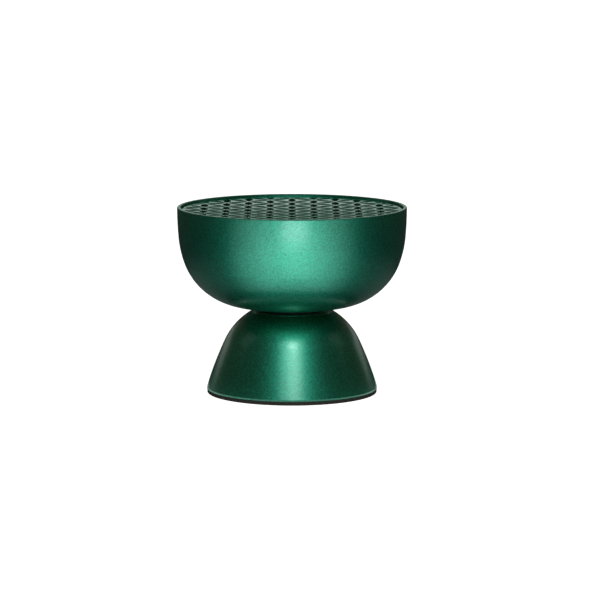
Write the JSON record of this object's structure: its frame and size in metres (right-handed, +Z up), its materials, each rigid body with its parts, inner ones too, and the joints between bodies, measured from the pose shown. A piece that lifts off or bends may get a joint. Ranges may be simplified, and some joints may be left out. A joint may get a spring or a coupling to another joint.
{
  "type": "tabletop wireless speaker",
  "caption": "Small wireless speaker: green aluminium bowl with an upward facing petal grille over a driver, on a dome base with a charging socket, a power button and a rubber foot.",
  "frame": {"origin": "centre of the foot, on the surface that the speaker stands on", "axes": "+Z up along the axis of the bowl and the base, -Y towards the front, +Y towards the charging socket at the back"},
  "size_m": [0.092, 0.092, 0.0749],
  "materials": {
    "green_aluminium": "bead blasted, anodised green, satin",
    "acoustic_cloth": "fine black weave",
    "black_plastic": "fine moulded texture",
    "black_rubber": "matt",
    "foot_rubber": "matt, moulded",
    "steel": "zinc plated",
    "cone_paper": "pressed black paper",
    "foil": "bare",
    "copper": "enamelled wire",
    "spider_cloth": "resin stiffened weave",
    "ferrite": "sintered, dull",
    "phenolic": "laminated sheet",
    "brass": "tinned",
    "lead_insulation": "smooth",
    "battery_can": "shrink wrapped",
    "board": "solder mask",
    "white_plastic": "moulded",
    "clear_plastic": "clear, frosted end"
  },
  "bodies": {
    "housing": {"bowl_shell": "green_aluminium", "grille": "green_aluminium", "grille_cloth": "acoustic_cloth", "grille_carrier": "black_plastic", "baffle": "black_plastic", "baffle_screws": "steel", "driver_gasket": "black_rubber", "driver_basket": "steel", "driver_screws": "steel", "surround": "black_rubber", "spider": "spider_cloth", "top_plate": "steel", "magnet": "ferrite", "yoke": "steel", "terminal_strip": "phenolic", "terminal_tags": "brass", "speaker_leads": "lead_insulation", "cable_grommet": "black_rubber", "neck_spacer": "black_plastic", "neck_screws": "steel", "base_shell": "green_aluminium", "chassis": "black_plastic", "chassis_screws": "steel", "foot_pad": "foot_rubber", "battery": "battery_can", "battery_leads": "lead_insulation", "circuit_board": "board", "board_screws": "steel", "usb_socket": "steel", "usb_tongue": "black_plastic", "tact_switch": "black_plastic", "status_led": "white_plastic", "light_pipe": "clear_plastic", "radio_module": "steel", "amplifier_chip": "black_plastic", "inductors": "ferrite", "capacitors": "foil", "speaker_connector": "white_plastic", "battery_connector": "white_plastic"},
    "cone_assembly": {"cone": "cone_paper", "dust_cap": "cone_paper", "coil_former": "foil", "voice_coil": "copper"},
    "button": {"power_button": "green_aluminium", "switch_plunger": "white_plastic"}
  },
  "joints": [
    {"name": "cone_travel", "type": "slide", "parent": "housing", "child": "cone_assembly", "axis": [0, 0, 1], "range_m": [-0.002, 0.002], "stiffness_N_per_m": 1500, "deforming": ["surround", "spider"]},
    {"name": "button_press", "type": "slide", "parent": "housing", "child": "button", "axis": [0.5446, -0.8387, 0], "range_m": [0, 0.0004], "stiffness_N_per_m": 3000}
  ]
}
